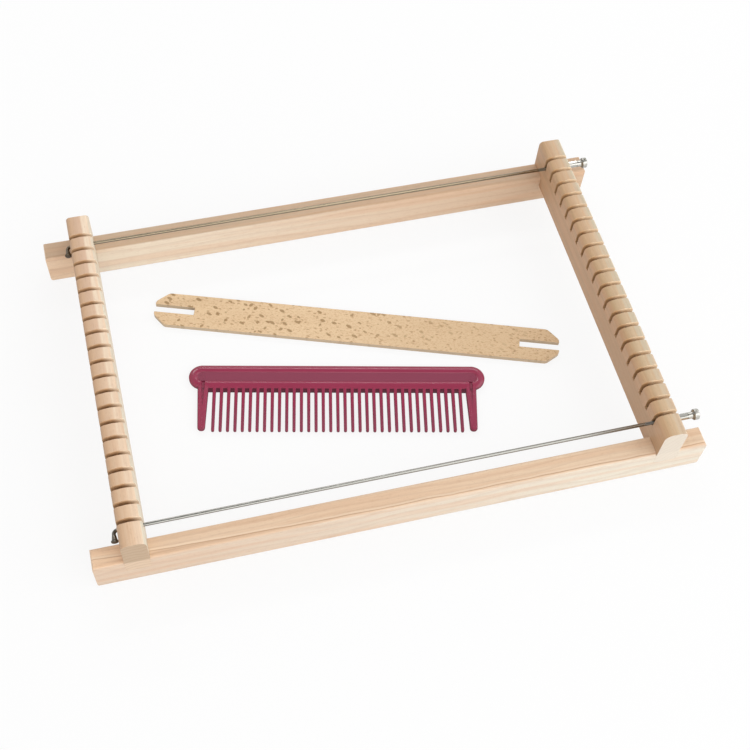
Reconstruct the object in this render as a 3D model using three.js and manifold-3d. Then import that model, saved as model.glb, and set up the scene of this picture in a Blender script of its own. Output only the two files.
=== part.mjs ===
// A small table loom of beech: two plain rails, two slotted bars let into them,
// two steel edge rods drawn tight by nipples, and the stick shuttle and beating
// comb that lie inside the frame. Millimetres, +Z up. X runs along the rails and
// Y from the front rail to the rear rail. The origin is the middle of the
// footprint, on the table.

import * as THREE from 'three';
import { mergeVertices } from 'three/addons/utils/BufferGeometryUtils.js';
import Module from 'manifold-3d';

const wasm = await Module();
wasm.setup();

// Rails: the two long plain pieces that stand on the table
const railLength = 344;
const railThickness = 12.5;
const railHeight = 22;
const railEdgeRadius = 1.8;
const railEndRadius = 2.8;

// Bars: the two slotted pieces across the rails
const barLength = 220;
const barWidth = 13.5;
const barHeight = 29;
const barInset = 16.8;
const barLetIn = 9.5;
const barTopRadius = 3;
const barTopCrown = 0.5;
const barFootRadius = 2;
const barEndRadius = 1.2;
const housingGap = 0.15;

// Saw slots that hold the warp threads, spread evenly between the two edge slots
const slotCount = 20;
const edgeSlotInset = 2.5;
const slotWidth = 2.4;
const slotDepth = 10.3;

// Edge rods: straight wire with a bent and headed left end and a threaded right end
const rodDiameter = 2;
const rodSeatGap = 0.1;
const elbowRadius = 2.4;
const elbowFaceGap = 1.2;
const elbowArmLength = 6.4;
const rodHeadDiameter = 4.2;
const rodHeadThickness = 1.3;

// Nipples: slotted nuts on the rods' threaded ends
const nippleStandOff = 1.8;
const nippleLength = 12.4;
const nippleFlatsWidth = 3.3;
const nippleFlatsLength = 5.6;
const nippleBarrelDiameter = 3.9;
const nippleHeadDiameter = 6.3;
const nippleHeadLength = 3.2;
const nippleConeLength = 1.1;
const nippleDomeHeight = 0.9;
const nippleSlotWidth = 1.2;
const nippleSlotDepth = 1.6;
const threadClearance = 0.06;

// Stick shuttle: a flat slat with a yarn slot in each end
const shuttleLength = 246;
const shuttleWidth = 23.4;
const shuttleThickness = 3;
const shuttleEndChamfer = 7.4;
const shuttleSideChamfer = 6.8;
const shuttleCornerRadius = 1.4;
const shuttleSlotRadius = 0.5;
const shuttleSlotLength = 24;
const shuttleSlotWidth = 5.4;
const shuttleX = 2.8;
const shuttleY = 22.7;
const shuttleTurn = -18.97;

// Beating comb: a round-ended back, fine teeth and a stout tooth at each end
const combBackLength = 174.6;
const combBackWidth = 16;
const combThickness = 4;
const combRimRound = 1.3;
const combPanelInset = 4.4;
const combPanelDepth = 0.8;
const toothCount = 35;
const toothPitch = 4.24;
const toothLength = 28.6;
const toothRootWidth = 2.1;
const toothTipWidth = 1.8;
const toothThickness = 2.6;
const toothEdgeRound = 0.45;
const guardRootWidth = 6.6;
const guardTipWidth = 4.3;
const guardLength = 28;
const guardThickness = 3.4;
const guardEdgeRound = 1;
const guardToothGap = 2.3;
const combX = -18.7;
const combY = -17.8;
const combTurn = -12.67;

// How finely round stretches are divided
const arcSteps = 3;
const toothArcSteps = 2;
const combEndSteps = 12;
const rimSteps = 2;
const toothRimSteps = 1;
const rodSides = 12;
const latheSides = 24;
const elbowSteps = 8;

// How far cutters run past a face, and teeth into the back that carries them
const cutMargin = 1;
const toothRootOverlap = 1.5;
const toothTipRoundness = 0.9;
const weldDistance = 1e-4;

const beech = new THREE.MeshStandardMaterial({ color: 0xdcb896, roughness: 0.6, metalness: 0 });
const flecked = new THREE.MeshStandardMaterial({ color: 0xd3ae80, roughness: 0.62, metalness: 0 });
const steel = new THREE.MeshStandardMaterial({ color: 0xa9aaa6, roughness: 0.28, metalness: 1 });
const plated = new THREE.MeshStandardMaterial({ color: 0xc4c0b4, roughness: 0.25, metalness: 1 });
const plum = new THREE.MeshStandardMaterial({ color: 0x8a2348, roughness: 0.25, metalness: 0 });

// Turns a closed geometry into a solid that can be joined and cut
function solidOf(geometry) {
  const bare = geometry.clone();
  bare.deleteAttribute('normal');
  bare.deleteAttribute('uv');
  const merged = mergeVertices(bare, weldDistance);
  const vertProperties = new Float32Array(merged.attributes.position.array);
  const triVerts = new Uint32Array(merged.index.array);
  return new wasm.Manifold(new wasm.Mesh({ numProp: 3, vertProperties, triVerts }));
}

// Turns a solid back into a geometry
function geometryOf(solid) {
  const mesh = solid.getMesh();
  const geometry = new THREE.BufferGeometry();
  geometry.setAttribute('position', new THREE.BufferAttribute(mesh.vertProperties, 3));
  geometry.setIndex(new THREE.BufferAttribute(mesh.triVerts, 1));
  geometry.computeVertexNormals();
  return geometry;
}

function pieceOf(name, geometry, material) {
  const piece = new THREE.Mesh(geometry, material);
  piece.name = name;
  return piece;
}

// Shape through corner points, each corner rounded by its radius
function roundedShape(corners) {
  const shape = new THREE.Shape();
  const count = corners.length;
  corners.forEach(([x, y, radius], i) => {
    const here = new THREE.Vector2(x, y);
    const [bx, by] = corners[(i + count - 1) % count];
    const [ax, ay] = corners[(i + 1) % count];
    const back = new THREE.Vector2(bx, by).sub(here).normalize();
    const ahead = new THREE.Vector2(ax, ay).sub(here).normalize();
    const half = Math.acos(THREE.MathUtils.clamp(back.dot(ahead), -1, 1)) / 2;
    const run = radius / Math.tan(half);
    const enter = here.clone().addScaledVector(back, run);
    const leave = here.clone().addScaledVector(ahead, run);
    if (i === 0) {
      shape.moveTo(enter.x, enter.y);
    } else {
      shape.lineTo(enter.x, enter.y);
    }
    if (radius > 0) {
      shape.quadraticCurveTo(here.x, here.y, leave.x, leave.y);
    }
  });
  shape.closePath();
  return shape;
}

// Rectangle that stands on the line of zero height
function rectangle(width, height, lowRadius, highRadius) {
  const side = width / 2;
  return roundedShape([
    [-side, 0, lowRadius],
    [side, 0, lowRadius],
    [side, height, highRadius],
    [-side, height, highRadius],
  ]);
}

function extrude(shape, depth, options = {}) {
  return new THREE.ExtrudeGeometry(shape, {
    depth,
    bevelEnabled: false,
    curveSegments: arcSteps,
    ...options,
  });
}

// A section drawn in Y and Z, run along X about the middle
function alongX(shape, length) {
  const basis = new THREE.Matrix4().makeBasis(
    new THREE.Vector3(0, 1, 0),
    new THREE.Vector3(0, 0, 1),
    new THREE.Vector3(1, 0, 0),
  );
  return extrude(shape, length).translate(0, 0, -length / 2).applyMatrix4(basis);
}

// A section drawn in X and Z, run along Y about the middle
function alongY(shape, length) {
  const basis = new THREE.Matrix4().makeBasis(
    new THREE.Vector3(1, 0, 0),
    new THREE.Vector3(0, 0, 1),
    new THREE.Vector3(0, -1, 0),
  );
  return extrude(shape, length).translate(0, 0, -length / 2).applyMatrix4(basis);
}

// Places worked out from the sizes
const barOuterX = railLength / 2 - barInset;
const barCentreX = barOuterX - barWidth / 2;
const barFootZ = railHeight - barLetIn;
const slotFloorZ = barFootZ + barHeight - slotDepth;
const railCentreY = (barLength - railThickness) / 2;
const edgeSlotY = barLength / 2 - railThickness - edgeSlotInset;
const slotPitch = 2 * edgeSlotY / (slotCount - 1);
const rodRadius = rodDiameter / 2;
const rodZ = slotFloorZ + rodRadius + rodSeatGap;

// Section of a bar, eased at the foot and crowned on top, grown all round by gap
function barSection(gap) {
  const side = barWidth / 2 + gap;
  const shoulder = barHeight - barTopCrown;
  const shape = new THREE.Shape();
  shape.moveTo(-side + barFootRadius, -gap);
  shape.lineTo(side - barFootRadius, -gap);
  shape.quadraticCurveTo(side, -gap, side, barFootRadius - gap);
  shape.lineTo(side, shoulder - barTopRadius);
  shape.absarc(side - barTopRadius, shoulder - barTopRadius, barTopRadius, 0, Math.PI / 2, false);
  shape.quadraticCurveTo(0, barHeight + barTopCrown, -side + barTopRadius, shoulder);
  shape.absarc(-side + barTopRadius, shoulder - barTopRadius, barTopRadius, Math.PI / 2, Math.PI, false);
  shape.lineTo(-side, barFootRadius - gap);
  shape.quadraticCurveTo(-side, -gap, -side + barFootRadius, -gap);
  return shape;
}

function railGeometry() {
  const section = rectangle(railThickness, railHeight, railEdgeRadius, railEdgeRadius);
  const outline = rectangle(railLength, railHeight, railEndRadius, railEdgeRadius);
  const cutLength = railThickness + 2 * cutMargin;
  let rail = solidOf(alongX(section, railLength)).intersect(solidOf(alongY(outline, cutLength)));
  for (const x of [-barCentreX, barCentreX]) {
    const housing = alongY(barSection(housingGap), cutLength).translate(x, 0, barFootZ);
    rail = rail.subtract(solidOf(housing));
  }
  return geometryOf(rail);
}

function barGeometry() {
  const outline = rectangle(barLength, barHeight, barEndRadius, barEndRadius);
  const cutWidth = barWidth + 2 * cutMargin;
  let bar = solidOf(alongY(barSection(0), barLength)).intersect(solidOf(alongX(outline, cutWidth)));
  for (let i = 0; i < slotCount; i += 1) {
    const slot = new THREE.BoxGeometry(cutWidth, slotWidth, slotDepth + cutMargin);
    slot.translate(0, i * slotPitch - edgeSlotY, slotFloorZ - barFootZ + (slotDepth + cutMargin) / 2);
    bar = bar.subtract(solidOf(slot));
  }
  return geometryOf(bar);
}

// Centre line of a rod: one straight run, a quarter-round elbow and a short arm
class RodLine extends THREE.Curve {
  constructor(rightEnd, armX) {
    super();
    this.rightEnd = rightEnd;
    this.elbowX = armX + elbowRadius;
    this.armX = armX;
  }

  // The run takes the first step, the elbow the next ones, and the arm the last
  getPointAt(u) {
    const step = Math.round(u * (elbowSteps + 2));
    if (step === 0) {
      return new THREE.Vector3(this.rightEnd, 0, 0);
    }
    if (step === elbowSteps + 2) {
      return new THREE.Vector3(this.armX, -elbowArmLength, 0);
    }
    const angle = (step - 1) / elbowSteps * Math.PI / 2;
    const x = this.elbowX - elbowRadius * Math.sin(angle);
    return new THREE.Vector3(x, elbowRadius * (Math.cos(angle) - 1), 0);
  }

  getTangentAt(u) {
    const step = Math.round(u * (elbowSteps + 2));
    const turn = THREE.MathUtils.clamp((step - 1) / elbowSteps, 0, 1);
    const angle = turn * Math.PI / 2;
    return new THREE.Vector3(-Math.cos(angle), -Math.sin(angle), 0);
  }
}

function circle(radius, sides) {
  const points = [];
  for (let i = 0; i < sides; i += 1) {
    const angle = (i + 0.5) / sides * Math.PI * 2;
    points.push(new THREE.Vector2(radius * Math.cos(angle), radius * Math.sin(angle)));
  }
  return new THREE.Shape(points);
}

const nippleX = barOuterX + nippleStandOff;
const rodRightX = nippleX + nippleLength - nippleDomeHeight - nippleSlotDepth - threadClearance;
const rodArmX = -barOuterX - elbowFaceGap - rodRadius;

function rodGeometry() {
  const line = new RodLine(rodRightX, rodArmX);
  const wire = new THREE.ExtrudeGeometry(circle(rodRadius, rodSides), {
    steps: elbowSteps + 2,
    extrudePath: line,
    bevelEnabled: false,
  });
  const headRadius = rodHeadDiameter / 2;
  const head = new THREE.CylinderGeometry(headRadius, headRadius, rodHeadThickness, latheSides);
  head.translate(rodArmX, -elbowArmLength, 0);
  return geometryOf(solidOf(wire).add(solidOf(head)));
}

// Bore, square flats, round barrel and a domed head with a driver slot
function nippleGeometry() {
  const boreRadius = (rodRadius + threadClearance) / Math.cos(Math.PI / latheSides);
  const barrelRadius = nippleBarrelDiameter / 2;
  const headRadius = nippleHeadDiameter / 2;
  const headStart = nippleLength - nippleHeadLength;
  const domeStart = nippleLength - nippleDomeHeight;
  const profile = [
    new THREE.Vector2(boreRadius, 0),
    new THREE.Vector2(barrelRadius, 0),
    new THREE.Vector2(barrelRadius, headStart - nippleConeLength),
    new THREE.Vector2(headRadius, headStart),
  ];
  for (let i = 0; i < arcSteps; i += 1) {
    const angle = i / arcSteps * Math.PI / 2;
    const rise = nippleDomeHeight * Math.sin(angle);
    profile.push(new THREE.Vector2(headRadius * Math.cos(angle), domeStart + rise));
  }
  profile.push(new THREE.Vector2(boreRadius, nippleLength));
  profile.push(new THREE.Vector2(boreRadius, 0));
  const turned = new THREE.LatheGeometry(profile, latheSides).rotateZ(-Math.PI / 2);
  let nipple = solidOf(turned);
  for (let i = 0; i < 4; i += 1) {
    const flat = new THREE.BoxGeometry(nippleFlatsLength + cutMargin, barrelRadius, nippleBarrelDiameter);
    flat.translate((nippleFlatsLength - cutMargin) / 2, (nippleFlatsWidth + barrelRadius) / 2, 0);
    flat.rotateX(i * Math.PI / 2);
    nipple = nipple.subtract(solidOf(flat));
  }
  const slotRun = nippleDomeHeight + nippleSlotDepth;
  const slot = new THREE.BoxGeometry(slotRun + cutMargin, nippleSlotWidth, nippleHeadDiameter + cutMargin);
  slot.translate(nippleLength - slotRun + (slotRun + cutMargin) / 2, 0, 0);
  return geometryOf(nipple.subtract(solidOf(slot)));
}

// Outline of the shuttle: corners cut off and a slot sawn into each end
function shuttleGeometry() {
  const end = shuttleLength / 2;
  const side = shuttleWidth / 2;
  const slotSide = shuttleSlotWidth / 2;
  const slotEnd = end - shuttleSlotLength;
  const half = [
    [end - shuttleEndChamfer, -side, shuttleCornerRadius],
    [end, -side + shuttleSideChamfer, shuttleCornerRadius],
    [end, -slotSide, shuttleSlotRadius],
    [slotEnd, -slotSide, shuttleSlotRadius],
    [slotEnd, slotSide, shuttleSlotRadius],
    [end, slotSide, shuttleSlotRadius],
    [end, side - shuttleSideChamfer, shuttleCornerRadius],
    [end - shuttleEndChamfer, side, shuttleCornerRadius],
  ];
  const other = half.map(([x, y, radius]) => [-x, -y, radius]);
  return extrude(roundedShape([...half, ...other]), shuttleThickness);
}

// Extrusion of a given thickness whose edges are eased off inside the outline
function eased(shapeOf, thickness, round, curveSegments, bevelSegments) {
  return extrude(shapeOf(round), thickness - 2 * round, {
    bevelEnabled: true,
    bevelThickness: round,
    bevelSize: round,
    bevelSegments,
    curveSegments,
  }).translate(0, 0, round - thickness / 2);
}

function stadium(length, width) {
  const run = (length - width) / 2;
  const shape = new THREE.Shape();
  shape.absarc(run, 0, width / 2, -Math.PI / 2, Math.PI / 2, false);
  shape.absarc(-run, 0, width / 2, Math.PI / 2, Math.PI * 3 / 2, false);
  return shape;
}

// A tooth hangs from the back towards -Y and narrows to a rounded tip
function toothShape(rootWidth, tipWidth, length, inset) {
  const root = rootWidth / 2 - inset;
  const tip = tipWidth / 2 - inset;
  return roundedShape([
    [-root, toothRootOverlap, 0],
    [-tip, -length + inset, tip * toothTipRoundness],
    [tip, -length + inset, tip * toothTipRoundness],
    [root, toothRootOverlap, 0],
  ]);
}

// The comb lies flat: its back is in +Y of its own origin and its teeth in -Y
function combGeometry() {
  const back = eased(
    (inset) => stadium(combBackLength - 2 * inset, combBackWidth - 2 * inset),
    combThickness,
    combRimRound,
    combEndSteps,
    rimSteps,
  ).translate(0, combBackWidth / 2, 0);
  let comb = solidOf(back);
  const fine = eased(
    (inset) => toothShape(toothRootWidth, toothTipWidth, toothLength, inset),
    toothThickness,
    toothEdgeRound,
    toothArcSteps,
    toothRimSteps,
  );
  const rowHalf = (toothCount - 1) * toothPitch / 2;
  for (let i = 0; i < toothCount; i += 1) {
    comb = comb.add(solidOf(fine.clone().translate(i * toothPitch - rowHalf, 0, 0)));
  }
  const guard = eased(
    (inset) => toothShape(guardRootWidth, guardTipWidth, guardLength, inset),
    guardThickness,
    guardEdgeRound,
    arcSteps,
    rimSteps,
  );
  const guardX = rowHalf + toothRootWidth / 2 + guardToothGap + guardRootWidth / 2;
  for (const x of [-guardX, guardX]) {
    comb = comb.add(solidOf(guard.clone().translate(x, 0, 0)));
  }
  for (const side of [-1, 1]) {
    const panelDepth = combPanelDepth + cutMargin;
    const panel = extrude(
      stadium(combBackLength - 2 * combPanelInset, combBackWidth - 2 * combPanelInset),
      panelDepth,
      { curveSegments: combEndSteps },
    );
    const panelZ = side * (combThickness / 2 - combPanelDepth + panelDepth / 2) - panelDepth / 2;
    comb = comb.subtract(solidOf(panel.translate(0, combBackWidth / 2, panelZ)));
  }
  return geometryOf(comb);
}

const loom = new THREE.Group();

const frame = new THREE.Group();
for (const [name, y] of [['front_rail', -railCentreY], ['rear_rail', railCentreY]]) {
  const rail = pieceOf(name, railGeometry(), beech);
  rail.position.set(0, y, 0);
  frame.add(rail);
}
for (const [name, x] of [['left_bar', -barCentreX], ['right_bar', barCentreX]]) {
  const bar = pieceOf(name, barGeometry(), beech);
  bar.position.set(x, 0, barFootZ);
  frame.add(bar);
}
loom.add(frame);

for (const [side, y] of [['front', -edgeSlotY], ['rear', edgeSlotY]]) {
  const edge = new THREE.Group();
  edge.position.set(0, y, rodZ);
  edge.add(pieceOf(`${side}_edge_rod`, rodGeometry(), steel));
  const nipple = pieceOf(`${side}_rod_nipple`, nippleGeometry(), plated);
  nipple.position.x = nippleX;
  edge.add(nipple);
  loom.add(edge);
}

const shuttle = pieceOf('shuttle', shuttleGeometry(), flecked);
shuttle.position.set(shuttleX, shuttleY, 0);
shuttle.rotation.z = THREE.MathUtils.degToRad(shuttleTurn);
loom.add(shuttle);

const comb = pieceOf('comb', combGeometry(), plum);
comb.position.set(combX, combY, combThickness / 2);
comb.rotation.z = THREE.MathUtils.degToRad(combTurn);
loom.add(comb);

export default loom;
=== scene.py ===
import math

import bmesh
import bpy
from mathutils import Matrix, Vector


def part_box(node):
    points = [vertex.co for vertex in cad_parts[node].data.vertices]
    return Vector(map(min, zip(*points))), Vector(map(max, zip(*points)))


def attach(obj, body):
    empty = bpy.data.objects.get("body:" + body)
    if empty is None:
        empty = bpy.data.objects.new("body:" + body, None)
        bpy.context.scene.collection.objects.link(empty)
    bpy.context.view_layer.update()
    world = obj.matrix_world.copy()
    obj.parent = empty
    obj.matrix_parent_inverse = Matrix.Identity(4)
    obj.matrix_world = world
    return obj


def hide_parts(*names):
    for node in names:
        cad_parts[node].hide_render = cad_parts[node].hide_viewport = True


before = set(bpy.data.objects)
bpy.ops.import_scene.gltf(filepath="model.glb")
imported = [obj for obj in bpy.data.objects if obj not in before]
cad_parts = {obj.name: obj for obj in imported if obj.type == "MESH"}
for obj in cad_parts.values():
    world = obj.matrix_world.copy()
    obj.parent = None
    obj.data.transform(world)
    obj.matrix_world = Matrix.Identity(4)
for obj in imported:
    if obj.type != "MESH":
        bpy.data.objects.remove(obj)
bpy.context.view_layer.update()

# The two rails are square-planed sticks of steamed beech that stand on the table.
# Their edges are eased by sanding, and a housing is milled across the top near
# each end, to the bar's own section, so that the slotted bars glue in flush.

mm = 0.001
rail_edge_radius = 1.8 * mm
rail_end_foot_radius = 2.8 * mm
bar_foot_radius = 2 * mm
bar_shoulder_radius = 3 * mm
bar_crown = 0.5 * mm
crown_rows = 5
rail_arris = 0.25 * mm
glue_line = 0.05 * mm
cutter_margin = 4 * mm
overshoot = 1 * mm
near = 1 * mm
hair = 0.01 * mm
weld_gap = 0.002 * mm
X, Y, Z = 0, 1, 2


def block(name, low, high):
    """A cube drawn out to fill the box between two corners."""
    bpy.ops.object.select_all(action="DESELECT")
    low, high = Vector(low), Vector(high)
    bpy.ops.mesh.primitive_cube_add(size=1, location=(low + high) / 2)
    piece = bpy.context.object
    piece.scale = high - low
    piece.name = name
    bpy.ops.object.transform_apply(location=True, rotation=True, scale=True)
    return piece


def pick(piece, kind, test):
    """Opens a piece in edit mode with only the parts selected that pass the test."""
    bpy.context.view_layer.objects.active = piece
    bpy.ops.object.mode_set(mode="EDIT")
    bpy.ops.mesh.select_mode(type=kind)
    bpy.ops.mesh.select_all(action="DESELECT")
    shape = bmesh.from_edit_mesh(piece.data)
    for part in {"VERT": shape.verts, "EDGE": shape.edges, "FACE": shape.faces}[kind]:
        if test(part):
            part.select_set(True)
    bmesh.update_edit_mesh(piece.data)


def every(part):
    """The test that all parts pass."""
    return True


def close(piece):
    """Leaves edit mode."""
    bpy.context.view_layer.objects.active = piece
    bpy.ops.object.mode_set(mode="OBJECT")


def round_edges(piece, axis, radius, segments, at=every):
    """Rounds the edges that run along one axis, where the test on their middle holds."""
    def chosen(edge):
        start, end = (vertex.co for vertex in edge.verts)
        run = end - start
        return abs(run[axis]) > 0.99 * run.length and at((start + end) / 2)
    pick(piece, "EDGE", chosen)
    bpy.ops.mesh.bevel(offset=radius, segments=segments, profile=0.5, affect="EDGES")
    close(piece)


def settle(piece, kind, **settings):
    """Adds a modifier and applies it at once."""
    modifier = piece.modifiers.new(kind.lower(), kind)
    for key, value in settings.items():
        setattr(modifier, key, value)
    bpy.context.view_layer.objects.active = piece
    bpy.ops.object.modifier_apply(modifier=modifier.name)


def combine(piece, other, operation):
    """Cuts, joins or intersects a piece with another one, which is used up."""
    settle(piece, "BOOLEAN", operation=operation, solver="EXACT", object=other)
    bpy.data.objects.remove(other)


def soften(piece, width, segments=2, angle=40, at=every):
    """Takes the sharpness off the edges where the test on their middle holds, then shades
    the flats flat and the rounds round."""
    def chosen(edge):
        start, end = (vertex.co for vertex in edge.verts)
        return edge.calc_face_angle(0) > math.radians(angle) and at((start + end) / 2)
    settle(piece, "WELD", merge_threshold=weld_gap)
    pick(piece, "EDGE", chosen)
    bpy.ops.mesh.bevel(offset=width, segments=segments, profile=0.5, affect="EDGES",
                       clamp_overlap=False)
    close(piece)
    settle(piece, "WELD", merge_threshold=weld_gap)
    bpy.ops.object.select_all(action="DESELECT")
    piece.select_set(True)
    bpy.context.view_layer.objects.active = piece
    bpy.ops.object.shade_smooth_by_angle(angle=math.radians(angle))
    settle(piece, "WEIGHTED_NORMAL", keep_sharp=True)


def bar_blank(name, low, high):
    """An unslotted bar: round shoulders, an eased foot and a slightly crowned top."""
    shoulder = high[Z] - bar_crown
    piece = block(name, low, (high[X], high[Y], shoulder))
    round_edges(piece, Y, bar_shoulder_radius, segments=8,
                at=lambda middle: middle.z > shoulder - near)
    round_edges(piece, Y, bar_foot_radius, segments=4, at=lambda middle: middle.z < low[Z] + near)

    def across_top(edge):
        start, end = (vertex.co for vertex in edge.verts)
        return min(start.z, end.z) > shoulder - hair and abs(start.y - end.y) < hair
    pick(piece, "EDGE", across_top)
    bpy.ops.mesh.subdivide(number_cuts=crown_rows)
    centre = (low[X] + high[X]) / 2
    flat = (high[X] - low[X]) / 2 - bar_shoulder_radius
    for row in range(1, crown_rows + 1):
        offset = 2 * row / (crown_rows + 1) - 1
        x = centre + flat * offset
        rise = bar_crown * math.cos(offset * math.pi / 2) ** 2
        pick(piece, "VERT",
             lambda vertex: vertex.co.z > shoulder - hair and abs(vertex.co.x - x) < hair)
        bpy.ops.transform.translate(value=(0, 0, rise))
    close(piece)
    return piece


class Wire:
    """An output socket that can be used in sums, so that a pattern reads as a formula."""

    def __init__(self, socket):
        self.socket = socket

    def node(self, kind, settings, sockets, output=0):
        """Adds a node to the same tree: its settings first, then its sockets' values or links."""
        return add_node(self.socket.id_data, kind, settings, sockets, output)

    def math(self, operation, *others):
        """Adds a Math node that takes this number first."""
        sockets = dict(enumerate((self, *others)))
        return self.node("ShaderNodeMath", {"operation": operation}, sockets)

    def __add__(self, other):
        return self.math("ADD", other)

    __radd__ = __add__

    def __mul__(self, other):
        return self.math("MULTIPLY", other)

    __rmul__ = __mul__

    def __sub__(self, other):
        return self.math("SUBTRACT", other)

    def __rsub__(self, other):
        return self * -1 + other

    def __truediv__(self, other):
        return self.math("DIVIDE", other)

    def __pow__(self, other):
        return self.math("POWER", other)

    def __abs__(self):
        return self.math("ABSOLUTE")

    def step(self, low, high):
        """Rises smoothly from 0 at low to 1 at high."""
        sockets = {"Value": self, "From Min": low, "From Max": high}
        return self.node("ShaderNodeMapRange", {"interpolation_type": "SMOOTHSTEP"}, sockets)

    def stretched(self, stretch, shift):
        """This place, scaled along each axis and moved on, so that no two patterns are alike."""
        sockets = {0: self, 1: stretch, 2: (shift, shift * 0.7, shift * 0.3)}
        return self.node("ShaderNodeVectorMath", {"operation": "MULTIPLY_ADD"}, sockets)

    def noise(self, stretch, detail, roughness, shift):
        """Noise of 0 to 1 on this place in mm. stretch is its frequency along each axis."""
        sockets = {"Vector": self.stretched(stretch, shift), "Scale": 1.0, "Detail": detail,
                   "Roughness": roughness}
        return self.node("ShaderNodeTexNoise", {}, sockets)

    def cells(self, stretch, shift):
        """Scattered cells: the distance to the nearest cell's middle, and that cell's number."""
        sockets = {"Vector": self.stretched(stretch, shift), "Scale": 1.0}
        distance = self.node("ShaderNodeTexVoronoi", {}, sockets, output="Distance")
        colour = self.node("ShaderNodeTexVoronoi", {}, sockets, output="Color")
        return distance, colour.axes()[X]

    def axes(self):
        """The three numbers of a vector."""
        return [self.node("ShaderNodeSeparateXYZ", {}, {0: self}, output=axis)
                for axis in (X, Y, Z)]

    def between(self, first, second):
        """A colour that goes from the first to the second as this number goes from 0 to 1. The
        Mix node holds its colours at sockets 6 and 7, and the mixed one at output 2."""
        sockets = {0: self, 6: first, 7: second}
        return self.node("ShaderNodeMix", {"data_type": "RGBA"}, sockets, output=2)


def add_node(tree, kind, settings, sockets, output=0):
    """Adds one node. Settings are its properties, and sockets holds values or wires."""
    node = tree.nodes.new(kind)
    for key, value in settings.items():
        setattr(node, key, value)
    for key, value in sockets.items():
        if isinstance(value, Wire):
            tree.links.new(value.socket, node.inputs[key])
        else:
            node.inputs[key].default_value = value
    return Wire(node.outputs[output]) if node.outputs else None


def srgb(red, green, blue):
    """A colour as it is read off a paint card, from 0 to 255, in the renderer's linear light."""
    def linear(value):
        value /= 255
        return value / 12.92 if value <= 0.04045 else ((value + 0.055) / 1.055) ** 2.4
    return (linear(red), linear(green), linear(blue), 1.0)


def new_material(name):
    """An empty material, with wires for the place in mm and the face's direction on the object."""
    material = bpy.data.materials.new(name)
    material.use_nodes = True
    tree = material.node_tree
    tree.nodes.clear()
    object_place = add_node(tree, "ShaderNodeTexCoord", {}, {}, output="Object")
    sockets = {0: object_place, "Scale": 1 / mm}
    place = object_place.node("ShaderNodeVectorMath", {"operation": "SCALE"}, sockets)
    facing = add_node(tree, "ShaderNodeTexCoord", {}, {}, output="Normal")
    return material, place, facing


def surface(material, sockets, bump, bump_depth):
    """Closes a material with its shader. bump is a height of 0 to 1, and stands for bump_depth
    in mm."""
    height = {"Strength": 1.0, "Distance": bump_depth * mm, "Height": bump}
    sockets["Normal"] = bump.node("ShaderNodeBump", {}, height)
    tree = material.node_tree
    shader = add_node(tree, "ShaderNodeBsdfPrincipled", {}, sockets)
    add_node(tree, "ShaderNodeOutputMaterial", {}, {"Surface": shader})
    return material


def stained(colour, *stains):
    """A colour with stains laid over it in turn, each with its pattern, strength and tone."""
    for pattern, strength, tone in stains:
        colour = (pattern * strength).between(colour, srgb(*tone))
    return colour


def beech_figure(stick, across, up, heart, seed):
    """What shows in planed beech: the late wood of the rings round the tree's heart, broad bands,
    fibres, soft mottling, short ticks and pores."""
    ring_width = 3.1
    sway = stick.noise((0.008, 0.02, 0.02), 2, 0.5, seed)
    radius = ((across - heart[0] + sway * 9) ** 2 + (up - heart[1] - sway * 6) ** 2) ** 0.5
    waver = stick.noise((0.01, 0.1, 0.1), 1, 0.5, seed + 5) * 1.5
    ring = (radius / ring_width + waver).math("FRACT")
    late = ring.step(0.45, 0.93) * (1 - ring.step(0.93, 1.0))
    band = stick.noise((0.006, 0.22, 0.22), 3, 0.5, seed + 3).step(0.42, 0.62)
    fibre = stick.noise((0.06, 2.2, 2.2), 3, 0.65, seed + 11).step(0.42, 0.8)
    mottle = stick.noise((0.22, 0.55, 0.55), 3, 0.6, seed + 17).step(0.5, 0.8)
    ticks = stick.noise((0.45, 3.6, 3.6), 1, 0.5, seed + 23).step(0.64, 0.74)
    pores = stick.noise((3.0, 3.0, 3.0), 2, 0.6, seed + 29)
    return late, band, fibre, mottle, ticks, pores


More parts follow.
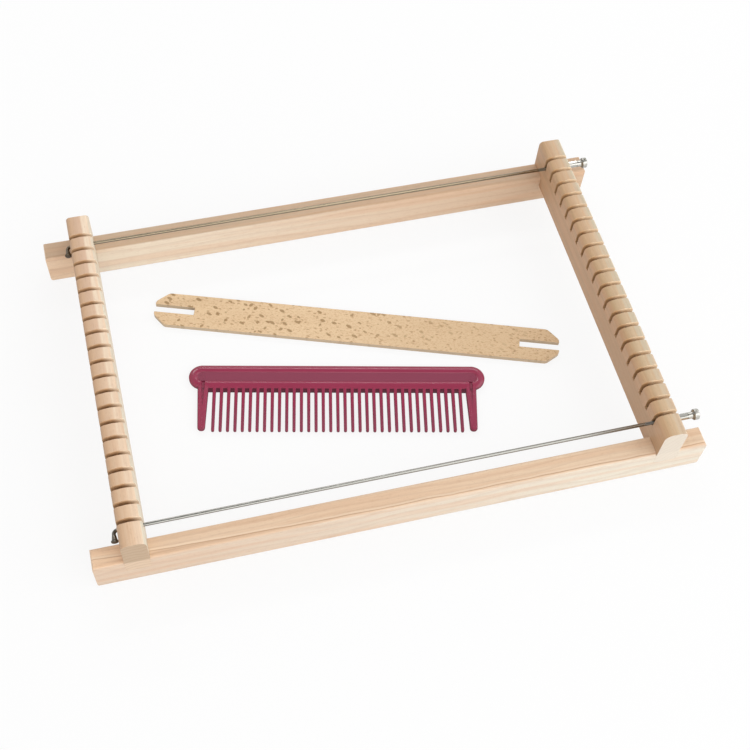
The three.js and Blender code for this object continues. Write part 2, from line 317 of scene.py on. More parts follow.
def beech(name, grain, node, heart, tones, seed, streak=None):
    """Planed beech. grain is the axis that the node's stick grew along, and heart is the middle
    of the tree's rings, across and up, in mm. The tones of the top, the two sides, the ends and
    their flush part below the rails' top are pairs, from the stick's low end to its high end; the
    sides' tones are painted light and shade, paler on a side that the lamps light and darker on
    one in shade or in a bar's shadow. Those of the shoulders and cuts go from its low side to its
    high side, and the cut span is where the cuts' tone changes: a painted shade on the low
    shoulder, a painted highlight on the high one, and painted light and shade in the cuts, which
    are painted darker with depth too. The stub's tones are painted light on a rail's short
    stretch outside the left bar, where the bar's shadow falls. streak is where a pale streak runs
    in the top, and how far it wanders at the low end."""
    material, place, facing = new_material(name)
    low, high = (Vector(corner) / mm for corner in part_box(node))
    side = 1 - grain
    along, across, up = [place.axes()[axis] for axis in (grain, side, Z)]
    stick = place.node("ShaderNodeCombineXYZ", {}, {0: along, 1: across, 2: up})
    run = along.step(low[grain], high[grain])
    pairs = [tones[key] for key in ("top", "low side", "high side", "ends", "flush")]
    planed, painted_low_side, painted_high_side, end, flush = [run.between(*pair) for pair in pairs]
    turned = facing.axes()[side]
    upwards = facing.axes()[Z].step(0.3, 0.8)
    endways = abs(facing.axes()[grain]).step(0.55, 0.85)
    outermost = abs(along).step(high[grain] - 4, high[grain] - 3)
    late, band, fibre, mottle, ticks, pores = beech_figure(stick, across, up, heart, seed)

    # Painted shade and highlight: the low shoulder darkens and the high shoulder pales, as the
    # light falls across the round.
    if "shoulders" in tones:
        shaded_shoulder, highlit_shoulder = tones["shoulders"]
        planed = across.step(low[side] + 1, low[side] + 7).between(shaded_shoulder, planed)
        planed = across.step(high[side] - 5.7, high[side] - 4.2).between(planed, highlit_shoulder)
    # Painted light: a rail's stretch outside the left bar gets a paler top and face, where the
    # bar's shadow falls.
    if "stub" in tones:
        bar_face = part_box("left_bar")[0][X] / mm
        stub = 1 - along.step(bar_face - 1, bar_face)
        planed = (upwards * stub).between(planed, tones["stub"])
        painted_low_side = stub.between(painted_low_side, tones["stub side"])
    # Painted light and shade: a strip along the high side and the faces turned to the low side take
    # the sides' lit or shaded tones.
    planed = across.step(high[side] - 1.5, high[side] - 0.7).between(planed, painted_high_side)
    planed = (turned * -1).step(0.45, 0.9).between(planed, painted_low_side)
    planed = stained(planed,
                     (band, 0.30, (214, 168, 130)),
                     (late, 0.14, (168, 122, 88)),
                     (mottle, 0.16, (186, 134, 100)),
                     (fibre, 0.16, (158, 112, 80)),
                     (ticks, 0.22, (140, 94, 62)))
    if streak:
        streak_place, streak_wander = streak
        wander = (along / low[grain]).math("MAXIMUM", 0.0) ** 2 * streak_wander
        waver = stick.noise((0.05, 0, 0), 2, 0.5, seed + 31) - 0.5
        offset = across - streak_place - wander + waver * 1.6
        pale = 1 - abs(offset - 0.8).step(0.3, 0.8)
        line = 1 - abs(offset).step(0.1, 0.4)
        planed = stained(planed,
                         (pale * upwards, 0.55, (244, 220, 192)),
                         (line * upwards, 0.50, (176, 126, 90)))

    # Painted light and shade in the cuts: their walls run from a shaded tone at one side to a lit
    # tone at the other, and are painted darker with depth as in shade.
    dark_until, light_from = tones["cut span"]
    lit = across.step(low[side] + dark_until, low[side] + light_from)
    depth = (high.z - up).step(0.4, 3.4)
    cut = (depth * (0.52 - lit * 0.32)).between(lit.between(*tones["cuts"]), srgb(148, 112, 76))
    rail_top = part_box("front_rail")[1][Z] / mm
    below_top = 1 - up.step(rail_top - 0.4, rail_top + 0.4)
    end = (below_top * 0.6).between(end, flush)
    sawn = outermost.between(cut, end)
    marks = late * (outermost * tones["end rings"] + 0.06) + pores.step(0.45, 0.75) * 0.14
    sawn = marks.between(sawn, srgb(150, 112, 82))
    colour = endways.between(planed, sawn)

    relief = fibre * 0.5 + late * 0.15 - ticks * 0.2 + pores * endways * 0.6
    gloss = 0.50 + fibre * 0.10 + endways * 0.14
    sockets = {"Base Color": colour, "Roughness": gloss, "IOR": 1.45}
    return surface(material, sockets, bump=relief, bump_depth=0.04)


def dress(piece, material, body, slot, *nodes):
    """Gives a finished piece its material and its place in the frame."""
    piece.data.materials.clear()
    piece.data.materials.append(material)
    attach(piece, body)
    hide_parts(*nodes)


def grown(box, amount):
    """A box's two corners, moved out by an amount on every side."""
    low, high = box
    margin = Vector((amount,) * 3)
    return Vector(low) - margin, Vector(high) + margin


def rail(name, node):
    """One rail: long edges rounded, ends eased, and the two housings cut and left crisp."""
    low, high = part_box(node)
    piece = block(name, low, high)
    round_edges(piece, X, rail_edge_radius, segments=5)
    out = Vector((0, cutter_margin, 0))
    ends = block("ends", low - out, high + out)
    round_edges(ends, Y, rail_edge_radius, segments=5, at=lambda middle: middle.z > high[Z] - near)
    round_edges(ends, Y, rail_end_foot_radius, segments=6,
                at=lambda middle: middle.z < low[Z] + near)
    combine(piece, ends, "INTERSECT")
    housings = [grown(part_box(bar), glue_line) for bar in ("left_bar", "right_bar")]
    for bar_low, bar_high in housings:
        combine(piece, bar_blank("housing", bar_low - out, bar_high + out), "DIFFERENCE")

    def clear_of_housings(middle):
        return not any(bar_low[X] - near < middle.x < bar_high[X] + near
                       for bar_low, bar_high in housings)
    soften(piece, rail_arris, at=clear_of_housings)
    return piece


rail_tones = {
    "ends": (srgb(226, 188, 152), srgb(216, 186, 156)),
    "flush": (srgb(228, 202, 176), srgb(228, 202, 176)),
    "cuts": (srgb(190, 150, 114), srgb(190, 150, 114)),
    "cut span": (0, 12),
    "end rings": 0.04,
}
# The front rail's low side is its front face, painted paler towards the right where the lamps fall
# on it: painted light. Its stub tones are painted light against the left bar's shadow.
front_tones = {
    **rail_tones,
    "top": (srgb(230, 200, 170), srgb(230, 203, 174)),
    "stub": srgb(246, 212, 178),
    "stub side": srgb(210, 188, 166),
    "low side": (srgb(210, 188, 166), srgb(220, 212, 196)),
    "high side": (srgb(230, 200, 170), srgb(230, 203, 174)),
}
front_rail = rail("front_rail_wood", "front_rail")
front_beech = beech("front rail beech", X, "front_rail", heart=(-30, -22), tones=front_tones,
                    seed=3, streak=(-108.4, 4))
dress(front_rail, front_beech, "frame", "beech", "front_rail")
# The rear rail's low side is its inner face, painted darker towards the right bar as that bar's
# shadow. Its stub side is painted light against the left bar's shadow.
rear_tones = {
    **rail_tones,
    "top": (srgb(199, 173, 145), srgb(197, 169, 141)),
    "stub": srgb(202, 174, 145),
    "stub side": srgb(242, 214, 184),
    "low side": (srgb(232, 219, 199), srgb(210, 182, 154)),
    "high side": (srgb(208, 182, 156), srgb(206, 178, 152)),
}
rear_rail = rail("rear_rail_wood", "rear_rail")
rear_beech = beech("rear rail beech", X, "rear_rail", heart=(26, -34), tones=rear_tones, seed=41)
dress(rear_rail, rear_beech, "frame", "beech", "rear_rail")

# The two bars are beech sticks with round shoulders, let into the rails and glued.
# Twenty saw kerfs run across each one for the warp threads, and their mouths are
# only lightly sanded, so that each tooth between them keeps a crisp rim.

bar_end_radius = 1.2 * mm
bar_arris = 0.22 * mm
kerf_count = 20
kerf_width = 2.4 * mm
kerf_depth = 10.3 * mm


def bar(name, node, edge_kerf_y):
    """One bar, with its kerfs spread evenly between the two edge kerfs."""
    low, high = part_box(node)
    piece = bar_blank(name, low, high)
    out = Vector((cutter_margin, 0, 0))
    ends = block("ends", low - out, high + out)
    round_edges(ends, X, bar_end_radius, segments=4, at=lambda middle: middle.z > high[Z] - near)
    combine(piece, ends, "INTERSECT")
    half = kerf_width / 2
    floor = high[Z] - kerf_depth
    kerf = block("kerf", (low[X] - cutter_margin, -edge_kerf_y - half, floor),
                 (high[X] + cutter_margin, -edge_kerf_y + half, high[Z] + cutter_margin))
    pitch = 2 * edge_kerf_y / (kerf_count - 1)
    settle(kerf, "ARRAY", count=kerf_count, use_relative_offset=False, use_constant_offset=True,
           constant_offset_displace=(0, pitch, 0))
    combine(piece, kerf, "DIFFERENCE")
    rail_inner_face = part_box("rear_rail")[0][Y]
    soften(piece, bar_arris, at=lambda middle: abs(middle.y) < rail_inner_face)
    return piece


def rod_axis(nipple):
    """Where a rod runs, across and up, which is through the middle of its nipple."""
    low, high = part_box(nipple)
    return (low[Y] + high[Y]) / 2, (low[Z] + high[Z]) / 2


edge_kerf_y = rod_axis("rear_rod_nipple")[0]
# The bars' side tones are painted light and shade: the side turned to the right is pale as the
# lamps light it, the low side and its shoulder darker in shade, and the cuts run from a shaded tone
# at the low side to a lit one at the high side.
left_tones = {
    "top": (srgb(225, 195, 164), srgb(211, 177, 149)),
    "shoulders": (srgb(206, 170, 136), srgb(233, 211, 185)),
    "low side": (srgb(196, 162, 132), srgb(192, 158, 128)),
    "high side": (srgb(218, 211, 191), srgb(218, 211, 191)),
    "ends": (srgb(184, 160, 134), srgb(200, 166, 132)),
    "flush": (srgb(228, 202, 176), srgb(216, 188, 158)),
    "cuts": (srgb(210, 172, 132), srgb(250, 230, 204)),
    "cut span": (6.5, 11.5),
    "end rings": 0.16,
}
left_bar = bar("left_bar_wood", "left_bar", edge_kerf_y)
left_beech = beech("left bar beech", Y, "left_bar", heart=(-140, -60), tones=left_tones, seed=71)
dress(left_bar, left_beech, "frame", "beech", "left_bar")
right_tones = {
    "top": (srgb(203, 177, 143), srgb(201, 173, 140)),
    "shoulders": (srgb(180, 150, 112), srgb(198, 185, 160)),
    "low side": (srgb(188, 154, 121), srgb(188, 154, 121)),
    "high side": (srgb(222, 207, 184), srgb(222, 207, 184)),
    "ends": (srgb(212, 201, 186), srgb(205, 172, 138)),
    "flush": (srgb(219, 208, 192), srgb(216, 190, 162)),
    "cuts": (srgb(210, 172, 128), srgb(238, 214, 182)),
    "cut span": (2.5, 7),
    "end rings": 0.02,
}
right_bar = bar("right_bar_wood", "right_bar", edge_kerf_y)
right_beech = beech("right bar beech", Y, "right_bar", heart=(190, -12), tones=right_tones, seed=97)
dress(right_bar, right_beech, "frame", "beech", "right_bar")

# Each edge rod is a drawn steel wire, like a long wheel spoke: its left end is bent
# round to the front and headed, and its right end has a rolled thread that starts
# just short of the right bar and runs through it into the nipple.

wire_radius = 1 * mm
elbow_radius = 2.4 * mm
elbow_arm = 6.4 * mm
neck_flare = 1.6
head_radius = 2.1 * mm
head_thickness = 1.3 * mm
head_layers = ((0.3, head_radius / wire_radius / neck_flare), (0.4, 0.92), (0.3, 0.6))
wire_arris = 0.08 * mm
thread_pitch = 0.45 * mm
thread_depth = 0.18 * mm
thread_crest = 0.04 * mm
thread_rows = 6
thread_turns = 46
thread_in_nipple = 1 * mm
doubles_gap = 0.001 * mm


def disc(name, centre, radius, corners, turn):
    """A filled circle, turned by its Euler angles to face the way it will be drawn out."""
    bpy.ops.object.select_all(action="DESELECT")
    bpy.ops.mesh.primitive_circle_add(vertices=corners, radius=radius, fill_type="NGON",
                                      location=centre, rotation=turn)
    piece = bpy.context.object
    piece.name = name
    bpy.ops.object.transform_apply(location=True, rotation=True, scale=True)
    pick(piece, "FACE", every)
    return piece


def draw_out(direction, scale=1.0):
    """Extrudes the selected face by a vector, then widens or narrows it about its own middle."""
    bpy.ops.mesh.extrude_region_move(TRANSFORM_OT_translate={"value": direction})
    if scale != 1.0:
        shape = bmesh.from_edit_mesh(bpy.context.object.data)
        chosen = [vertex.co for vertex in shape.verts if vertex.select]
        middle = sum(chosen, Vector()) / len(chosen)
        bpy.ops.transform.resize(value=(scale,) * 3, center_override=middle)


def make_solid(piece):
    """Leaves edit mode with doubles merged and every face turned outwards."""
    bpy.ops.mesh.select_all(action="SELECT")
    bpy.ops.mesh.remove_doubles(threshold=doubles_gap)
    bpy.ops.mesh.normals_make_consistent(inside=False)
    close(piece)


def roll_thread(piece, start, axis_y, axis_z):
    """Shapes the wire's skin from one place to the right as a screw thread."""
    length = thread_turns * thread_pitch

    def in_thread(edge):
        left, right = sorted(vertex.co.x for vertex in edge.verts)
        inside = left > start - hair and right < start + length + hair
        return inside and right - left > hair
    for parts in (thread_turns, thread_rows):
        pick(piece, "EDGE", in_thread)
        bpy.ops.mesh.subdivide(number_cuts=parts - 1)
    shape = bmesh.from_edit_mesh(piece.data)
    for vertex in shape.verts:
        along = vertex.co.x - start
        if hair < along < length - hair:
            spoke = Vector((0, vertex.co.y - axis_y, vertex.co.z - axis_z))
            turn = math.atan2(spoke.z, spoke.y) / (2 * math.pi)
            height = abs(2 * ((along / thread_pitch + turn) % 1) - 1)
            vertex.co += spoke.normalized() * (thread_crest - thread_depth * (1 - height))
    bmesh.update_edit_mesh(piece.data)
    close(piece)


def thread_span(nipple):
    """Where a rod's thread starts, and where it ends inside the nipple."""
    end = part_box(nipple)[0][X] + thread_in_nipple
    return end - thread_turns * thread_pitch, end


def rod(name, node, nipple):
    """One edge rod, drawn from its right end to its bent and headed left end. Each layer of the
    head takes a share of its thickness and widens or narrows by a scale."""
    low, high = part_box(node)
    axis_y, axis_z = rod_axis(nipple)
    thread_start, thread_end = thread_span(nipple)
    elbow_x = low[X] + head_radius + elbow_radius
    right = Vector((high[X], axis_y, axis_z))
    piece = disc(name, right, wire_radius, corners=32, turn=(0, -math.pi / 2, 0))
    draw_out((thread_end - high[X], 0, 0))
    draw_out((thread_start - thread_end, 0, 0))
    draw_out((elbow_x - thread_start, 0, 0))
    bpy.ops.mesh.spin(steps=10, angle=-math.pi / 2, axis=(0, 0, 1),
                      center=(elbow_x, axis_y - elbow_radius, axis_z))
    draw_out((0, elbow_radius - elbow_arm + head_thickness / 2, 0), scale=neck_flare)
    for share, scale in head_layers:
        draw_out((0, -head_thickness * share, 0), scale)
    make_solid(piece)
    soften(piece, wire_arris, angle=50)
    roll_thread(piece, thread_start, axis_y, axis_z)
    return piece


drawn_steel, place, facing = new_material("drawn steel wire")
scratches = place.noise((0.15, 9, 9), 3, 0.6, 2)
along = place.axes()[X]
thread_start = thread_span("rear_rod_nipple")[0] / mm
threaded = along.step(thread_start - 0.6, thread_start)
bar_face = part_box("left_bar")[0][X] / mm
bent = 1 - along.step(bar_face - 1.5, bar_face)
# Painted reflection and shade: the rear rod is browner and its back darker, for the wooden rail it
# mirrors and the shadow on it, and the undersides are darker, more so towards the left, for the
# rails and shade below. The thread and the bent end are darker as well.
rear_rod_painted_reflection = place.axes()[Y].step(-1, 1)
leftward = 1 - along.step(-130, -10)
shaded_underside = 1 - facing.axes()[Z].step(0.1, 0.75)
behind = facing.axes()[Y].step(0.1, 0.6)
steel = rear_rod_painted_reflection.between(srgb(162, 161, 155), srgb(157, 144, 121))
steel = (shaded_underside * (0.4 + leftward * 0.4)).between(steel, srgb(84, 76, 70))
steel = (behind * rear_rod_painted_reflection * 0.75).between(steel, srgb(92, 76, 56))
steel = (threaded * 0.6 + bent * 0.8).between(steel, srgb(82, 72, 62))
surface(drawn_steel, {"Base Color": steel, "Metallic": 1.0, "Roughness": 0.20 + scratches * 0.16},
        bump=scratches, bump_depth=0.01)
for side in ("front", "rear"):
    wire = rod(side + "_rod_wire", side + "_edge_rod", side + "_rod_nipple")
    dress(wire, drawn_steel, side + "_rod", "steel_wire", side + "_edge_rod")

# The nipples are small nickel-plated nuts. Each is turned from rod, with square
# flats milled next to the bar for a key and a driver slot sawn across its head,
# and it screws onto the wire to draw it tight.

flats_width = 3.3 * mm
flats_length = 5.6 * mm
barrel_radius = 1.95 * mm
nipple_head_radius = 3.15 * mm
nipple_head_length = 3.2 * mm
nipple_cone_length = 1.1 * mm
nipple_dome = 0.9 * mm
driver_slot_width = 1.2 * mm
driver_slot_depth = 1.6 * mm
bore_radius = 1.06 * mm
nipple_arris = 0.12 * mm
dome_steps = 6


def nipple(name, node):
    """One nipple, from its thin end by the bar to its domed head."""
    low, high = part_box(node)
    length = high[X] - low[X]
    centre = Vector((low[X], (low[Y] + high[Y]) / 2, (low[Z] + high[Z]) / 2))
    piece = disc(name, centre, barrel_radius, corners=48, turn=(0, math.pi / 2, 0))
    draw_out((length - nipple_head_length - nipple_cone_length, 0, 0))
    draw_out((nipple_cone_length, 0, 0), scale=nipple_head_radius / barrel_radius)
    draw_out((nipple_head_length - nipple_dome, 0, 0))
    for step in range(1, dome_steps):
        angle = step / dome_steps * math.pi / 2
        before = (step - 1) / dome_steps * math.pi / 2
        run = nipple_dome * (math.sin(angle) - math.sin(before))
        draw_out((run, 0, 0), scale=math.cos(angle) / math.cos(before))
    make_solid(piece)
    half = flats_width / 2
    far = nipple_head_radius + overshoot
    for axis in (Y, Z):
        for sign in (-1, 1):
            flat_low = Vector((-overshoot, -far, -far))
            flat_high = Vector((flats_length, far, far))
            flat_low[axis] = half if sign > 0 else -far
            flat_high[axis] = far if sign > 0 else -half
            combine(piece, block("flat", centre + flat_low, centre + flat_high), "DIFFERENCE")
    slot_floor = length - nipple_dome - driver_slot_depth
    slot_low = centre + Vector((slot_floor, -driver_slot_width / 2, -far))
    slot_high = centre + Vector((length + overshoot, driver_slot_width / 2, far))
    combine(piece, block("driver_slot", slot_low, slot_high), "DIFFERENCE")
    bore = disc("bore", centre - Vector((overshoot, 0, 0)), bore_radius, corners=32,
                turn=(0, math.pi / 2, 0))
    draw_out((length + 2 * overshoot, 0, 0))
    make_solid(bore)
    combine(piece, bore, "DIFFERENCE")
    return piece


nickel, place, facing = new_material("nickel plate")
brushed = place.noise((0.8, 5, 5), 3, 0.6, 9)
# Painted shade: the undersides and the faces turned towards the bar, such as the cone under the
# head, are painted darker.
shaded_underside = 1 - facing.axes()[Z].step(-0.6, 0.2)
shadowed = (facing.axes()[X] * -1).step(0.2, 0.6)
plate = (shaded_underside * 0.7).between(srgb(196, 194, 187), srgb(66, 60, 54))
plate = (shadowed * 0.6).between(plate, srgb(84, 78, 70))
surface(nickel, {"Base Color": plate, "Metallic": 1.0, "Roughness": 0.12 + brushed * 0.12},
        bump=brushed, bump_depth=0.01)
for side in ("front", "rear"):
    nut = nipple(side + "_nipple_metal", side + "_rod_nipple")
    soften(nut, nipple_arris)
    dress(nut, nickel, side + "_nipple", "plated_nipple", side + "_rod_nipple")

# The stick shuttle is a thin slat sliced from quartered beech, so that the rays
# show as brown flecks on its faces. Its corners are cut off and a slot for the
# wound yarn is sawn into each end.

shuttle_length = 246 * mm
shuttle_width = 23.4 * mm
shuttle_end_chamfer = 7.4 * mm
shuttle_side_chamfer = 6.8 * mm
shuttle_slot_length = 24 * mm
shuttle_slot_width = 5.4 * mm
shuttle_corner_radius = 1.4 * mm
shuttle_arris = 0.3 * mm
shuttle_turn = math.radians(-18.97)


def lay(piece, turn, centre):
    """Turns a piece made at the origin about +Z and moves it to where it lies."""
    bpy.ops.object.select_all(action="DESELECT")
    piece.select_set(True)
    bpy.context.view_layer.objects.active = piece
    piece.rotation_euler = (0, 0, turn)
    piece.location = centre
    bpy.ops.object.transform_apply(location=True, rotation=True, scale=True)


def middle_of(node):
    """The middle of a node's foot."""
    low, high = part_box(node)
    return Vector(((low[X] + high[X]) / 2, (low[Y] + high[Y]) / 2, low[Z]))


shuttle_low, shuttle_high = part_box("shuttle")
shuttle_thickness = shuttle_high[Z] - shuttle_low[Z]
end, side = shuttle_length / 2, shuttle_width / 2
shuttle = block("shuttle_wood", (-end, -side, 0), (end, side, shuttle_thickness))
for sign_x in (-1, 1):
    for sign_y in (-1, 1):
        corner = Vector((sign_x * (end - shuttle_end_chamfer), sign_y * side, 0))
        outward = Vector((sign_x * shuttle_side_chamfer, sign_y * shuttle_end_chamfer, 0))
        pick(shuttle, "FACE", every)
        bpy.ops.mesh.bisect(plane_co=corner, plane_no=outward.normalized(), use_fill=True,
                            clear_outer=True)
        close(shuttle)
round_edges(shuttle, Z, shuttle_corner_radius, segments=4)
for sign in (-1, 1):
    reach = sorted((sign * (end - shuttle_slot_length), sign * (end + overshoot)))
    slot = block("slot", (reach[0], -shuttle_slot_width / 2, -overshoot),
                 (reach[1], shuttle_slot_width / 2, shuttle_thickness + overshoot))
    combine(shuttle, slot, "DIFFERENCE")
soften(shuttle, shuttle_arris, segments=3)
lay(shuttle, shuttle_turn, middle_of("shuttle"))


def as_made(place, turn, centre=(0, 0, 0)):
    """A place as it was on a piece before lay() turned it and moved it to its centre."""
    sockets = {"Vector": place, "Rotation": (0, 0, turn), "Location": centre}
    return place.node("ShaderNodeMapping", {"vector_type": "TEXTURE"}, sockets)


quartered, place, facing = new_material("quartered beech")
slat = as_made(place, shuttle_turn, middle_of("shuttle") / mm)
along = slat.axes()[X]
grain = slat.noise((0.9, 1.2, 1.2), 3, 0.6, 51)
fibre = slat.noise((0.10, 2.2, 2.2), 3, 0.65, 4).step(0.42, 0.8)
cloud = slat.noise((0.02, 0.12, 0.1), 2, 0.5, 8).step(0.35, 0.75)
ticks = slat.noise((0.7, 1.6, 1.6), 2, 0.55, 15).step(0.54, 0.64)
freckles = slat.noise((1.6, 2.1, 2.1), 1, 0.5, 33).step(0.5, 0.68)
leftward = 1 - along.step(-20, 90)


def flecks(turn, stretch, smallest, spread, rarity, shift):
    """Ragged brown flecks in scattered cells whose long way is turned from the slat's own. A cell
    holds one where its own number passes rarity, and the higher the number, the larger it is."""
    ragged_edge = (1.8, 1.5, 0)
    sockets = {0: grain, 1: ragged_edge, 2: as_made(slat, turn)}
    ragged = slat.node("ShaderNodeVectorMath", {"operation": "MULTIPLY_ADD"}, sockets)
    distance, number = ragged.cells(stretch, shift)
    inside = (smallest + number * spread - distance).step(-0.02, 0.03)
    return inside * number.step(rarity, rarity + 0.02)


spots = flecks(math.radians(-28), (0.15, 0.30, 0), smallest=0.12, spread=0.20, rarity=0.45,
               shift=3.4)
spots = spots * (0.3 + leftward * 0.7)
blots = flecks(math.radians(52), (0.16, 0.24, 0), smallest=0.10, spread=0.15, rarity=0.7,
               shift=9.1)
blots = blots * leftward
specks = flecks(math.radians(-8), (0.30, 0.60, 0), smallest=0.14, spread=0.18, rarity=0.4,
                shift=7.7)
edges = 1 - abs(facing.axes()[Z]).step(0.4, 0.9)
tone = stained(srgb(229, 200, 161),
               (cloud, 0.35, (217, 186, 147)),
               (along.step(-30, 60), 0.40, (206, 177, 140)),
               (fibre, 0.18, (186, 142, 98)),
               (freckles, 0.30, (198, 152, 108)),
               (ticks, 0.40, (180, 132, 88)),
               (specks, 0.58, (164, 122, 80)),
               (spots.math("MAXIMUM", blots), 0.80, (152, 118, 74)),
               (edges, 0.80, (186, 168, 144)))
surface(quartered, {"Base Color": tone, "Roughness": 0.55 + fibre * 0.1, "IOR": 1.45},
        bump=fibre * 0.6 - ticks * 0.3 - spots * 0.2, bump_depth=0.04)
dress(shuttle, quartered, "shuttle", "flecked_beech", "shuttle")

# The beating comb is one moulding in glossy plum plastic. A rounded rim runs round
# a matt panel on both faces of its back, thirty-five fine teeth hang from a thin web
# below the rim, and a stout guard tooth with a groove closes the row at each end.

comb_length = 174.6 * mm
comb_width = 16 * mm
rim_width = 5 * mm
rim_crest = 3.2 * mm
rim_outer_radius = 4.9 * mm
rim_inner_radius = 2.5 * mm
rim_lip = 0.12 * mm
panel_depth = 0.8 * mm
tooth_count = 35
tooth_pitch = 4.24 * mm
tooth_length = 28.6 * mm
tooth_root = 2 * mm
tooth_tip = 1.8 * mm
tooth_thickness = 2.6 * mm
tooth_edge = 0.5 * mm
tooth_thinning = 0.9
tip_rounding = 0.42
guard_root = 6.6 * mm
guard_tip = 4.3 * mm
guard_length = 28 * mm
guard_thickness = 3.4 * mm
guard_edge = 1 * mm
guard_gap = 2.3 * mm
web_width = 1.8 * mm
web_thickness = 1.7 * mm
groove_radius = 1.15 * mm
groove_end = 16 * mm
root_overlap = 2.5 * mm
comb_arris = 0.12 * mm
comb_turn = math.radians(-12.67)
comb_place = Vector((-18.7 * mm, -17.8 * mm, 0))


def stadium(name, length, width, low, high):
    """A slab with round ends, made from a circle whose halves are drawn apart."""
    piece = disc(name, (0, width / 2, low), width / 2, corners=64, turn=(0, 0, 0))
    for sign in (-1, 1):
        pick(piece, "VERT", lambda vertex: vertex.co.x * sign > hair)
        bpy.ops.transform.translate(value=(sign * (length - width) / 2, 0, 0))
    pick(piece, "FACE", every)
    draw_out((0, 0, high - low))
    make_solid(piece)
    return piece


def raise_rim(piece, sign):
    """Insets one face ring by ring: up the rim's outer round to its crest, down the tighter
    inner round, and over a short lip to the panel."""
    steps = 8
    outer_tilt = math.asin(rim_crest / rim_outer_radius)
    inner_tilt = math.asin((rim_width - rim_lip - rim_crest) / rim_inner_radius)
    profile = []
    for step in range(steps + 1):
        tilt = outer_tilt * (1 - step / steps)
        rise = rim_outer_radius * math.cos(tilt) - rim_outer_radius * math.cos(outer_tilt)
        profile.append((rim_crest - rim_outer_radius * math.sin(tilt), rise))
    for step in range(1, steps + 1):
        tilt = inner_tilt * step / steps
        profile.append((rim_crest + rim_inner_radius * math.sin(tilt),
                        rim_rise - rim_inner_radius * (1 - math.cos(tilt))))
    profile.append((rim_width, rim_rise - panel_depth))
    pick(piece, "FACE", lambda face: face.normal.z * sign > 0.9)
    for (before, low), (after, high) in zip(profile, profile[1:]):
        bpy.ops.mesh.inset(thickness=after - before, depth=high - low)
    close(piece)


def tooth(name, root, tip, length, thickness, edge):
    """A tapered tooth that hangs towards -Y from the back, thinner and rounded at its tip."""
    half = thickness / 2
    piece = block(name, (-root / 2, -length, -half), (root / 2, root_overlap, half))
    pick(piece, "VERT", lambda vertex: vertex.co.y < 0)
    bpy.ops.transform.resize(value=(tip / root, 1, tooth_thinning), center_override=(0, -length, 0))
    close(piece)
    round_edges(piece, Z, tip * tip_rounding, segments=4, at=lambda middle: middle.y < 0)
    settle(piece, "BEVEL", width=edge, segments=3, limit_method="ANGLE",
           angle_limit=math.radians(50))
    return piece


def cut_groove(piece, x, sign):
    """Cuts a groove that narrows from the panel's corner to halfway down a guard tooth."""
    bpy.ops.object.select_all(action="DESELECT")
    length = groove_end + rim_width
    middle = (x, rim_width - length / 2, sign * guard_thickness / 2)
    bpy.ops.mesh.primitive_cone_add(vertices=24, radius1=groove_radius, radius2=0, depth=length,
                                    location=middle, rotation=(math.pi / 2, 0, 0))
    groove = bpy.context.object
    bpy.ops.object.transform_apply(location=True, rotation=True, scale=True)
    combine(piece, groove, "DIFFERENCE")


comb_low, comb_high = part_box("comb")
comb_half = (comb_high[Z] - comb_low[Z]) / 2
rim_rise = rim_outer_radius * (1 - math.cos(math.asin(rim_crest / rim_outer_radius)))
comb = stadium("comb_plastic", comb_length, comb_width, rim_rise - comb_half, comb_half - rim_rise)
for sign in (-1, 1):
    raise_rim(comb, sign)
row_half = (tooth_count - 1) * tooth_pitch / 2
fine = tooth("tooth", tooth_root, tooth_tip, tooth_length, tooth_thickness, tooth_edge)
settle(fine, "ARRAY", count=tooth_count, use_relative_offset=False, use_constant_offset=True,
       constant_offset_displace=(tooth_pitch, 0, 0))
lay(fine, turn=0, centre=(-row_half, 0, 0))
guard_x = row_half + tooth_root / 2 + guard_gap + guard_root / 2
web = block("web", (-guard_x, -web_width, -web_thickness / 2),
            (guard_x, root_overlap, web_thickness / 2))
combine(comb, web, "UNION")
combine(comb, fine, "UNION")
for sign in (-1, 1):
    guard = tooth("guard", guard_root, guard_tip, guard_length, guard_thickness, guard_edge)
    lay(guard, turn=0, centre=(sign * guard_x, 0, 0))
    combine(comb, guard, "UNION")
    for face in (-1, 1):
        cut_groove(comb, sign * guard_x, face)


def clear_of_groove(middle):
    """Leaves out the edges at a groove's mouth in the panel, where a bevel has no room."""
    return middle.y < 0 or abs(abs(middle.x) - guard_x) > 1.5 * groove_radius


soften(comb, comb_arris, angle=45, at=clear_of_groove)
lay(comb, comb_turn, comb_place + Vector((0, 0, comb_low[Z] + comb_half)))

plum, place, facing = new_material("plum plastic")
moulding = as_made(place, comb_turn, comb_place / mm)
along, up_back, _ = moulding.axes()
flow = place.noise((0.05, 0.05, 0.05), 2, 0.5, 6)
grain = place.noise((2.5, 2.5, 2.5), 2, 0.5, 12)
above = abs(place.axes()[Z] - (comb_low[Z] + comb_half) / mm)
level = abs(facing.axes()[Z]).step(0.985, 0.995)
panel_top = (comb_half - panel_depth) / mm
high_enough = above.step(panel_top - 0.1, panel_top - 0.02)
low_enough = 1 - above.step(panel_top + 0.02, panel_top + 0.06)
panel = level * low_enough * high_enough
colour = (flow.step(0.3, 0.7) * 0.5).between(srgb(152, 50, 79), srgb(144, 45, 74))
colour = (panel * 0.6).between(colour, srgb(118, 34, 64))
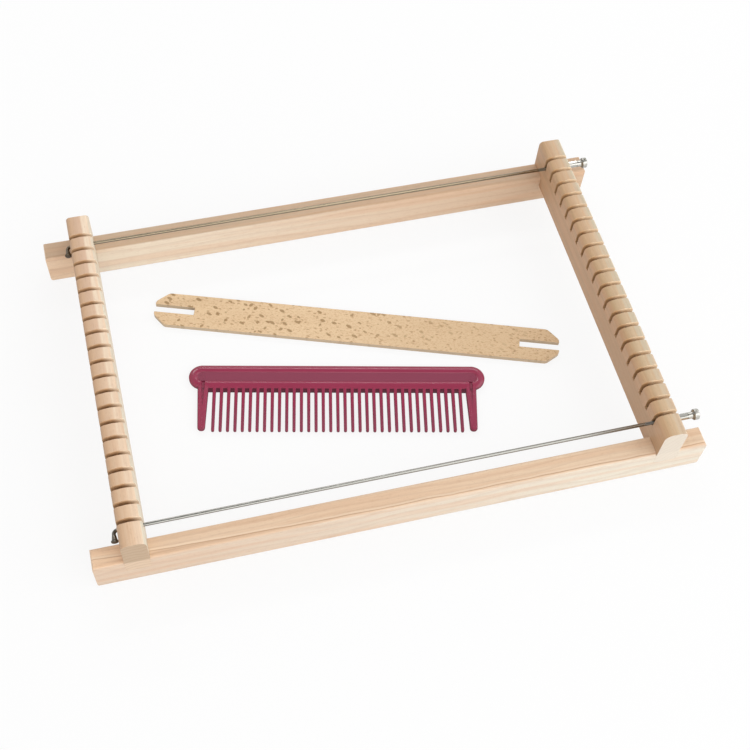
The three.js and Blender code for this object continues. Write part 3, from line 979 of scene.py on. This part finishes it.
# Painted shade: the steep walls are painted darker, and the wall and web between the teeth's roots
# darker still.
wall = 1 - abs(facing.axes()[Z]).step(0.5, 0.88)
roots = up_back.math("LESS_THAN", 0.5) * (up_back + web_width / mm).step(-0.3, -0.1)
web_top = web_thickness / mm / 2
low_lying = 1 - above.step(web_top, web_top + 0.1)
painted_shade_between_roots = roots * wall.math("MAXIMUM", low_lying)
colour = (wall * 0.4).math("MAXIMUM", painted_shade_between_roots * 0.85).between(colour, srgb(64, 14, 32))
round_ends = (abs(along) - comb_length / mm / 2).step(-12, -9)
pits = place.noise((1.3, 1.3, 1.3), 1, 0.5, 21).step(0.58, 0.72)
surface(plum, {"Base Color": colour, "Roughness": 0.12 + grain * 0.05 + panel * 0.30 + wall * 0.5},
        bump=flow * 0.1 + pits * round_ends, bump_depth=0.12)
dress(comb, plum, "comb", "plum_plastic", "comb")

# The loom stands on a plain white table in soft studio light. Two large lamps stand
# at the right and in front, a narrow one high behind draws highlights along the
# edges, and the white room around grows dimmer towards the middle of its ceiling.

table_half = 4.0
table_drop = 0.02 * mm
table_white = 0.86
table_glow = 0.85
wall_fall = 0.2
ceiling_fall = 0.5


def lamp(name, direction, distance, width, height, power):
    """A soft rectangular lamp that looks at the middle of the loom from a direction."""
    data = bpy.data.lights.new(name, "AREA")
    data.shape = "RECTANGLE"
    data.size = width
    data.size_y = height
    data.energy = power
    holder = bpy.data.objects.new(name, data)
    bpy.context.collection.objects.link(holder)
    towards = Vector(direction).normalized()
    holder.location = towards * distance
    holder.rotation_euler = towards.to_track_quat("Z", "Y").to_euler()


def seen(tree):
    """1 where a ray comes from the camera, a mirror or glass, and 0 for the lamps' own light."""
    camera = add_node(tree, "ShaderNodeLightPath", {}, {}, output="Is Camera Ray")
    glossy = add_node(tree, "ShaderNodeLightPath", {}, {}, output="Is Glossy Ray")
    through = add_node(tree, "ShaderNodeLightPath", {}, {}, output="Is Transmission Ray")
    return camera.math("MAXIMUM", glossy.math("MAXIMUM", through))


bpy.ops.object.select_all(action="DESELECT")
bpy.ops.mesh.primitive_plane_add(size=2 * table_half, location=(0, 0, -table_drop))
table = bpy.context.object
table.name = "table"
white = bpy.data.materials.new("white table")
white.use_nodes = True
white.node_tree.nodes.clear()
paint = (table_white, table_white, table_white, 1)
lit = add_node(white.node_tree, "ShaderNodeBsdfDiffuse", {}, {"Color": paint})
bright = add_node(white.node_tree, "ShaderNodeEmission", {},
                  {"Color": (1, 1, 1, 1), "Strength": 1.0})
blend = add_node(white.node_tree, "ShaderNodeMixShader", {},
                 {0: seen(white.node_tree) * table_glow, 1: lit, 2: bright})
add_node(white.node_tree, "ShaderNodeOutputMaterial", {}, {"Surface": blend})
table.data.materials.append(white)

lamp("right", (0.8, -0.38, 0.46), distance=2.0, width=2.2, height=2.2, power=19)
lamp("front", (0.05, -0.9, 0.43), distance=2.0, width=1.6, height=1.6, power=14)
lamp("back", (0.1, 0.8, 0.68), distance=1.4, width=1.4, height=0.12, power=4)

room = bpy.data.worlds.new("room")
bpy.context.scene.world = room
room.use_nodes = True
room.node_tree.nodes.clear()
direction = add_node(room.node_tree, "ShaderNodeTexCoord", {}, {}, output="Generated")
height = direction.axes()[Z]
brightness = 1 - height.step(0.05, 0.3) * wall_fall - height.step(0.8, 0.95) * ceiling_fall
sky = add_node(room.node_tree, "ShaderNodeBackground", {},
               {"Color": (1, 1, 1, 1), "Strength": brightness})
add_node(room.node_tree, "ShaderNodeOutputWorld", {}, {"Surface": sky})

# The camera looks down from the front left, as the photograph does. Its small shift
# stands for part of the photograph's off-centre crop.

camera = bpy.data.objects.new("camera", bpy.data.cameras.new("camera"))
bpy.context.collection.objects.link(camera)
camera.location = (-0.1196, -0.3761, 0.5938)
camera.rotation_euler = [math.radians(angle) for angle in (29.238, -2.089, -13.757)]
camera.data.lens = 57.02
camera.data.shift_x = 0.03
camera.data.shift_y = 0.10
camera.data.clip_start = 0.01
bpy.context.scene.camera = camera
bpy.context.scene.view_settings.view_transform = "Standard"
